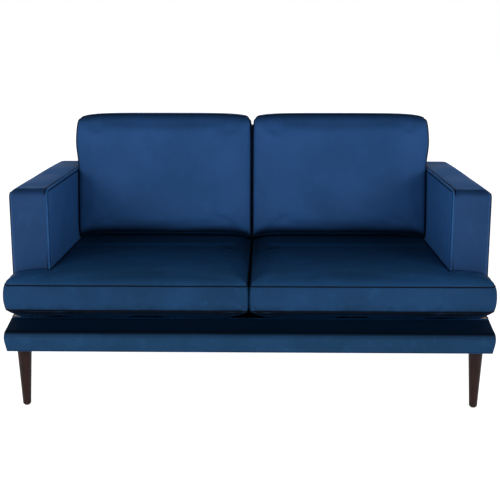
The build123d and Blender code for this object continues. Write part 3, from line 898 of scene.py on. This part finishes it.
def crown_rest(form, bounds, fore, back):
    """Domes the front, pulls the corners in, bellies the borders and leans the cushion back."""
    near, side, low, high = bounds
    outline = [(near, low), (side, low), (side, high), (near, high)]
    inwards = ((1, 1), (-1, 1), (-1, -1), (1, -1))
    radii = (REST_CORNER_LOW, REST_CORNER_LOW, REST_CORNER_TOP, REST_CORNER_TOP)
    for vertex in form.verts:
        x, y, z = vertex.co
        from_near, from_side, from_low, from_top = x - near, side - x, z - low, high - z
        from_ends = min(from_near, from_side)
        low_roll, top_roll = rolled(from_low, REST_ROLL_LOW), rolled(from_top, REST_ROLL_TOP)
        share = (y - fore) / (back - fore)
        behind = max(share, 0.0)
        if y < fore + ON_SEAM:
            edge = min(from_ends, from_low, from_top)
            y -= REST_FRONT_SEAM * rolled(from_ends, REST_ROLL_SIDE) * top_roll * low_roll
            y -= REST_DOME * (1 - fade(edge, REST_DOME_RUN))
            y += ripple((x, 0.0, z), 0.16, 4 * MM, 7.7) * smooth_step(edge / 0.09)
        y += (REST_UNDER * (1 - low_roll) + REST_OVER * (1 - top_roll)) * min(1 - share, 1.0)
        for corner, inward, radius in zip(outline, inwards, radii):
            x, z = rounded_corner(x, z, corner, inward, radius)
        z += REST_BELLY * hump(share) * fade(from_top, 0.006) - REST_FALL * behind * fade(from_top, 0.05)
        x -= REST_PULL * fade(from_top, 0.04) * fade(from_side, 0.08)
        x += REST_PULL_NEAR * fade(from_top, 0.03) * fade(from_near, 0.08)
        z -= REST_PULL * fade(from_ends, 0.045) * fade(from_top, 0.1)
        lift = REST_LIFT * (1 - fade(from_ends, 0.03)) * fade(from_low, 0.07)
        z += lift * (1 - smooth_step(share))
        x += spread_over_arm(z) * fade(from_side, 0.06)
        vertex.co = (x, leaned(y, z), z)


def settle_rest(mesh, margin):
    """Flattens the cushion where it stands on the seat and meets the arm, its neighbour and the back."""
    for vertex in mesh.vertices:
        x, y, z = vertex.co
        z = max(z, rest_bottom + 0.3 * MM + margin)
        x = max(x, rest_low.x - TOUCH + margin)
        x = min(x, arm_inside - ARM_CLEAR - margin + spread_over_arm(z))
        y = min(y, leaned(rest_front + rest_depth - ZIP_RECESS - margin, z))
        vertex.co = (x, y, z)


def make_back_cushions():
    flat, seams = filled_cover("rest_pattern", rest_form(0.0, STEP), 1, crown_rest, 2.5, 5 * MM, 0.0)
    pucker(flat.data, seams, 1.4 * MM, 0.018, 8.0)
    sink_seams(flat.data, seams)
    settle_rest(flat.data, 0.0)
    core = cushion_core("rest_core", rest_form(CORE_INSET, CORE_STEP), crown_rest, settle_rest)
    forward = (0.0, -1.0, 0.0)
    for side, sign in SIDES:
        body = "back_cushion_" + side
        looks = (side, sign, rest_velvet, body, "velvet", 1, forward)
        cover = add_sided("velvet_back_cushion", flat.data, *looks)
        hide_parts("back_cushion_cover_" + side)
        looks = (side, sign, finishes["fibre_fill"], body, "fibre_fill", 1)
        fill = add_sided("back_fibre_core", core, *looks)
        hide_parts("back_cushion_fill_" + side)
        add_seams("back_cushion", flat.data, ("front", "rear"), seams, side, sign, body)
    bpy.data.objects.remove(flat)


# ---- arms

ARM_TOP_ROUND = 28 * MM
ARM_OUTER_ROUND = 25 * MM
ARM_INNER_ROUND = 6 * MM
ARM_BULGE = 4 * MM
ARM_OUTER_BULGE = 5.5 * MM
ARM_TOP_BULGE = 2.8 * MM
ARM_GATHER_RUN = 55 * MM  # gathers at the front of the inner seam's top corner
COVER_THICKNESS = 1.6 * MM
ARC = (0.0, 0.15, 0.32, 0.5, 0.7, 1.0)  # marks round a rounding, as shares of its radius


def arc_marks(low, high, radius_low, radius_high, step):
    """Marks for a side with a rounding at each end."""
    head = [low + share * radius_low for share in ARC[:-1]] if radius_low else []
    tail = [high - share * radius_high for share in reversed(ARC[:-1])] if radius_high else []
    return head + marks([low + radius_low, high - radius_high], step) + tail


def arm_profile(y, z):
    """Rounds a point of the arm's side view; gives it with its depth and the way inward."""
    radius = ARM_TOP_ROUND
    centre_z = arm_high.z - radius
    if y < arm_low.y + radius:
        centre_y, toward = arm_low.y + radius, -1
    else:
        centre_y, toward = arm_high.y - radius, 1
    off_y, off_z = max((y - centre_y) * toward, 0.0), max(z - centre_z, 0.0)
    if off_y > 0 and off_z > 0:
        length = math.hypot(off_y, off_z)
        reach = max(off_y, off_z)
        unit = (toward * off_y / length, off_z / length)
        return centre_y + unit[0] * reach, centre_z + unit[1] * reach, radius - reach, (-unit[0], -unit[1])
    depths = ((y - arm_low.y, (1, 0)), (arm_high.y - y, (-1, 0)), (arm_high.z - z, (0, -1)))
    depth, inward = min(depths)
    return y, z, depth, inward


def round_arm(place):
    """A point of the plain block moved onto the rounded arm."""
    y, z, depth, inward = arm_profile(place.y, place.z)
    x = place.x
    for side, toward, radius in ((arm_low.x, 1, ARM_INNER_ROUND), (arm_high.x, -1, ARM_OUTER_ROUND)):
        from_side = (x - side) * toward
        if from_side < radius and depth < radius:
            a, b = radius - from_side, radius - depth
            share = max(a, b) / math.hypot(a, b)
            x = side + toward * (radius - a * share)
            deeper = radius - b * share - depth
            y, z = y + inward[0] * deeper, z + inward[1] * deeper
    return Vector((x, y, z))


def arm_mesh():
    """The cover of the right arm: padded panels, soft outside and tight along the inner seam."""
    low, high = Vector(arm_low), Vector(arm_high)
    along_x = arc_marks(low.x, high.x, ARM_INNER_ROUND, ARM_OUTER_ROUND, STEP)
    along_y = arc_marks(low.y, high.y, ARM_TOP_ROUND, ARM_TOP_ROUND, STEP)
    along_z = arc_marks(low.z, high.z, 0.0, ARM_TOP_ROUND, STEP)
    form = cut_block(low, high, [along_x, along_y, along_z])
    bottoms = [f for f in form.faces if abs(f.calc_center_median().z - low.z) < 0.01 * MM]
    bmesh.ops.delete(form, geom=bottoms, context="FACES")
    size = high - low
    shares = {}
    for vertex in form.verts:
        shares[vertex.index] = [(vertex.co[i] - low[i]) / size[i] for i in range(3)]
        vertex.co = round_arm(vertex.co.copy())
    form.normal_update()
    corner = Vector((low.x, low.y, high.z))
    for vertex in form.verts:
        u, v, w = shares[vertex.index]
        flat_x, flat_y = (1 - abs(2 * t - 1) ** 3 for t in (u, v))
        normal = vertex.normal
        out = ARM_OUTER_BULGE * max(normal.x, 0.0) * flat_y * hump(w * 1.15)
        out += ARM_BULGE * max(-normal.y, 0.0) * flat_x * smooth_step(w * 5)
        out += ARM_TOP_BULGE * max(normal.z, 0.0) * flat_x * flat_y
        gather = fade((vertex.co - corner).length, ARM_GATHER_RUN)
        gather *= smooth_step((vertex.co.x - low.x) / (4 * MM))
        out += ripple(vertex.co, 0.022, 3.2 * MM, 2.0) * gather
        out += ripple(vertex.co, 0.19, 1.1 * MM, 9.0) * (1 - max(-normal.x, 0.0))
        vertex.co += normal * out
    return as_mesh("arm_pattern", form)


CORD_STEP = 18 * MM


def arm_seam(from_side, toward, depth):
    """A line that runs up the front, over the top and down the rear, at a depth within the outline."""
    x = (arm_low.x if toward > 0 else arm_high.x) + toward * from_side
    low_y, high_y, top = arm_low.y + depth, arm_high.y - depth, arm_high.z - depth
    bend = max(ARM_TOP_ROUND - depth, 4 * MM)
    fore, back, level = low_y + bend, high_y - bend, top - bend
    upright = marks([arm_low.z + 2 * MM, level], CORD_STEP)
    turns = [math.radians(15 * i) for i in range(1, 6)]
    arc = [(bend * math.sin(t), bend * math.cos(t)) for t in turns]
    points = [Vector((x, low_y, z)) for z in upright]
    points += [Vector((x, fore - cosine, level + sine)) for sine, cosine in arc]
    points += [Vector((x, y, top)) for y in marks([fore, back], CORD_STEP)]
    points += [Vector((x, back + sine, level + cosine)) for sine, cosine in arc]
    points += [Vector((x, high_y, z)) for z in reversed(upright)]
    return points


def make_arms():
    mesh = arm_mesh()
    # The stitches and the outer cord are near-black thread: partly stitching and piping, partly painted
    # shade along the inner seam and the outer edge
    lines = {
        "inner_piping": (arm_seam(2.4 * MM, 1, 2.4 * MM), 3.6 * MM, seam_velvet),
        "inner_side_stitch": (arm_seam(0.7 * MM, 1, 7.6 * MM), 2.2 * MM, thread),
        "inner_front_stitch": (arm_seam(7.6 * MM, 1, 0.7 * MM), 2.2 * MM, thread),
        "outer_piping": (arm_seam(2.6 * MM, -1, 13.5 * MM), 2.2 * MM, thread),
    }
    for side, sign in SIDES:
        cover = add_sided("velvet_arm_cover", mesh, side, sign, arm_velvet, "frame", "velvet")
        thicken(cover, COVER_THICKNESS)
        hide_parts("arm_cover_" + side)
        for label, (line, radius, material) in lines.items():
            tube(f"arm_{label}_{side}", on_side(line, sign), radius, material, "frame")


# ---- base and back

BAND_LIP = 60 * MM
BAND_ROUND = 17 * MM
BAND_END = 7 * MM
BAND_BELLY = 3.5 * MM
BAND_FLARE = 3.5 * MM  # the ends of the front band swell out above
BAND_TUCK = 3 * MM  # and lean in below
BAND_CORNER = 14 * MM
BAND_THICKNESS = 2.5 * MM
BAND_CORD = 1.7 * MM
HEM_RISE = 1.4 * MM
CORD_RUN = 30 * MM  # between the points of a straight cord
ARC_PARTS = 8


def band_profile():
    """Side view of the front band: upright face, rolled lip, then a slope up to the deck."""
    slope = math.atan2(band_high.z - band_low.z - BAND_LIP, band_high.y - band_low.y)
    turn = math.pi / 2 - slope
    tangent = BAND_ROUND * math.tan(turn / 2)
    centre = Vector((front + BAND_ROUND, base_bottom + BAND_LIP - tangent))
    points = [Vector((band_high.y, base_bottom)), Vector((front + 4 * MM, base_bottom))]
    points += [Vector((front + 1 * MM, base_bottom + 1 * MM))]
    for z in graded(base_bottom + 4 * MM, centre.y, 10 * MM, edge=(3.0,)):
        up = min((z - base_bottom) / BAND_LIP, 1.0)
        points.append(Vector((front - BAND_BELLY * hump(up * 0.9), z)))
    for i in range(1, ARC_PARTS + 1):
        angle = math.pi - turn * i / ARC_PARTS
        swell = BAND_BELLY * 0.4 * (1 - i / ARC_PARTS)
        points.append(centre + Vector((math.cos(angle), math.sin(angle))) * BAND_ROUND - Vector((swell, 0)))
    last = points[-1]
    top = Vector((band_high.y, deck - 0.3 * MM))
    points += [last.lerp(top, i / 7) for i in range(1, 8)]
    return points


def make_front_band():
    """Padded band across the front, with rounded ends that lean in toward the bottom."""
    profile = band_profile()
    centre = Vector((front + 45 * MM, base_bottom + 35 * MM))
    half = base_side + 1 * MM
    rings = []
    for x in arc_marks(-half, half, BAND_END, BAND_END, 20 * MM):
        from_end = half - abs(x)
        shrink = BAND_END * (1 - rolled(from_end, BAND_END)) if from_end < BAND_END else 0.0
        ring = []
        for point in profile:
            toward = (centre - point).normalized() * shrink
            y, z = point.x + toward.x, point.y + toward.y
            up = (point.y - base_bottom) / (deck - base_bottom)
            face = smooth_step((front + 0.02 - y) / 0.02)
            y += ripple((x, 0.0, z), 0.14, 1.3 * MM, 1.7) * face
            end = smooth_step((abs(x) - half + 0.1) / 0.1) * math.copysign(1.0, x)
            flare = BAND_FLARE * hump(up * 0.9) - BAND_TUCK * (1 - smooth_step(up * 2))
            ring.append((x + end * flare, y, z))
        rings.append(ring)
    form, made = skin(rings, True)
    for ring in (made[0], made[-1]):
        form.faces.new(ring)
    band = finish_mesh("velvet_front_band", form, navy_velvet, "frame")
    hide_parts("base_cover_front", "base_front_pad")
    reach = base_side - 6 * MM
    across = marks([-reach, reach], CORD_RUN)
    hem = [Vector((x, front + 2.2 * MM, base_bottom + HEM_RISE)) for x in across]
    tube("front_band_hem", hem, BAND_CORD, seam_velvet, "frame")


def wrap_path(side, front_y, rear_y, radius):
    """Plan line of a band from one side round the back to the other."""
    left = [Vector((-side, y, 0)) for y in marks([front_y, rear_y - radius], CORD_RUN)]
    centre = Vector((side - radius, rear_y - radius, 0))
    turns = [math.pi / 2 * i / ARC_PARTS for i in range(ARC_PARTS + 1)]
    arc = [centre + Vector((radius * math.cos(t), radius * math.sin(t), 0)) for t in turns]
    behind = [Vector((x, rear_y, 0)) for x in marks([-centre.x, centre.x], CORD_RUN)[1:-1]]
    return left + on_side(arc[1:], -1) + behind + arc[::-1] + [Vector((side, front_y, 0))]


def make_side_band():
    """The rest of the base band, which wraps the sides and the back."""
    path = wrap_path(base_side, arm_front, rear, BAND_CORNER)
    form = bmesh.new()
    row = [form.verts.new((p.x, p.y, base_bottom)) for p in path]
    edges = [form.edges.new(pair) for pair in zip(row, row[1:])]
    heights = graded(base_bottom, deck - 0.5 * MM, 10 * MM, edge=(3.0, 8.0))
    for before, after in zip(heights, heights[1:]):
        made = bmesh.ops.extrude_edge_only(form, edges=edges)["geom"]
        edges = [item for item in made if isinstance(item, bmesh.types.BMEdge)]
        fresh = [item for item in made if isinstance(item, bmesh.types.BMVert)]
        bmesh.ops.translate(form, vec=(0, 0, after - before), verts=fresh)
    bmesh.ops.recalc_face_normals(form, faces=form.faces)
    form.normal_update()
    centre = Vector((0, 0, (base_bottom + deck) / 2))
    outward = 1 if sum((f.calc_center_median() - centre).dot(f.normal) for f in form.faces) > 0 else -1
    for vertex in form.verts:
        up = (vertex.co.z - base_bottom) / (deck - base_bottom)
        swell = 2.5 * MM * (1 - abs(2 * up - 1) ** 3) + ripple(vertex.co, 0.15, 0.8 * MM, 4.0)
        vertex.co += vertex.normal * outward * swell
    if outward < 0:
        bmesh.ops.reverse_faces(form, faces=form.faces)
    band = finish_mesh("velvet_side_band", form, navy_velvet, "frame", faces_kept=True)
    thicken(band, BAND_THICKNESS)
    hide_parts("base_cover_left", "base_cover_right", "base_cover_back")
    for label, z, shift in (("hem", base_bottom + HEM_RISE, -1.0 * MM), ("welt", deck, 0.0)):
        plan = wrap_path(base_side + shift, arm_front, rear + shift, BAND_CORNER)
        line = [Vector((p.x, p.y, z)) for p in plan]
        tube("side_band_" + label, line, BAND_CORD, seam_velvet, "frame")


BACK_ROUND = 14 * MM
BACK_CROWN = 0.6 * MM
PANEL_SWELL = 2 * MM
PANEL_CORD = 2.4 * MM


def make_back():
    """Leaning inside back with a rolled top and closed ends."""
    low, high = Vector(back_low), Vector(back_high)
    half = high.x - 0.5 * MM
    rear_y = high.y
    profile = []
    for z in marks([low.z, high.z - BACK_ROUND], 20 * MM):
        profile.append(Vector((low.y + (z - low.z) * lean, z)))
    face_top = low.y + (high.z - low.z) * lean
    tilt = math.atan(lean)
    centre = Vector((face_top + BACK_ROUND, high.z - BACK_ROUND))
    for i in range(1, ARC_PARTS + 1):
        angle = math.pi - tilt - (math.pi / 2 - tilt) * i / ARC_PARTS
        profile.append(centre + Vector((math.cos(angle), math.sin(angle))) * BACK_ROUND)
    profile += [Vector((y, high.z)) for y in marks([profile[-1].x, rear_y], 15 * MM)[1:]]
    rings = []
    for x in graded(-half, half, 25 * MM, edge=(3.0, 8.0, 15.0)):
        across = 1 - (abs(x) / half) ** 6
        ring = []
        for y, z in profile:
            up = (z - low.z) / (high.z - low.z)
            face = 1 - smooth_step((y - face_top - 5 * MM) / 0.03) if up > 0.5 else 1.0
            crown = BACK_CROWN * across * hump(up) * face
            ring.append((x, y - crown, z))
        rings.append(ring)
    form, made = skin(rings, False)
    for x, ring in ((-half, made[0]), (half, made[-1][::-1])):
        form.faces.new(ring + [form.verts.new((x, rear_y, low.z))])
    for vertex in form.verts:
        if vertex.co.z > high.z - 2 * MM:
            vertex.co.z += ripple(vertex.co, 0.16, 0.8 * MM, 2.2)
    cover = finish_mesh("velvet_back_cover", form, navy_velvet, "frame", faces_kept=True)
    thicken(cover, COVER_THICKNESS)
    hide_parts("back_cover")


def make_outside_back():
    """Flat panel that closes the back, a little full, with piping up its sides and over its top."""
    low, high = Vector(panel_low), Vector(panel_high)
    form = cut_block(low, high, [marks([low[i], high[i]], 20 * MM) for i in range(3)])
    for vertex in form.verts:
        across = 1 - (abs(vertex.co.x) / high.x) ** 6
        up = (vertex.co.z - low.z) / (high.z - low.z)
        swell = PANEL_SWELL * across * (1 - abs(2 * up - 1) ** 4)
        vertex.co.y += swell + ripple((vertex.co.x, 0.0, vertex.co.z), 0.18, 0.8 * MM, 6.0) * across
    panel = finish_mesh("velvet_outside_back", form, navy_velvet, "frame")
    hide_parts("outside_back_cover")
    edge = 1.5 * MM
    corners = [(-1, low.z + edge), (-1, high.z - edge), (1, high.z - edge), (1, low.z + edge)]
    path = [Vector((sign * (high.x - edge), high.y - 0.5 * MM, z)) for sign, z in corners]
    line = []
    for a, b in zip(path, path[1:]):
        count = max(1, round((b - a).length / CORD_RUN))
        line += [a.lerp(b, i / count) for i in range(count)]
    tube("outside_back_piping", line + [path[-1]], PANEL_CORD, seam_velvet, "frame")


make_seat_cushions()
make_back_cushions()
make_arms()
make_front_band()
make_side_band()
make_back()
make_outside_back()
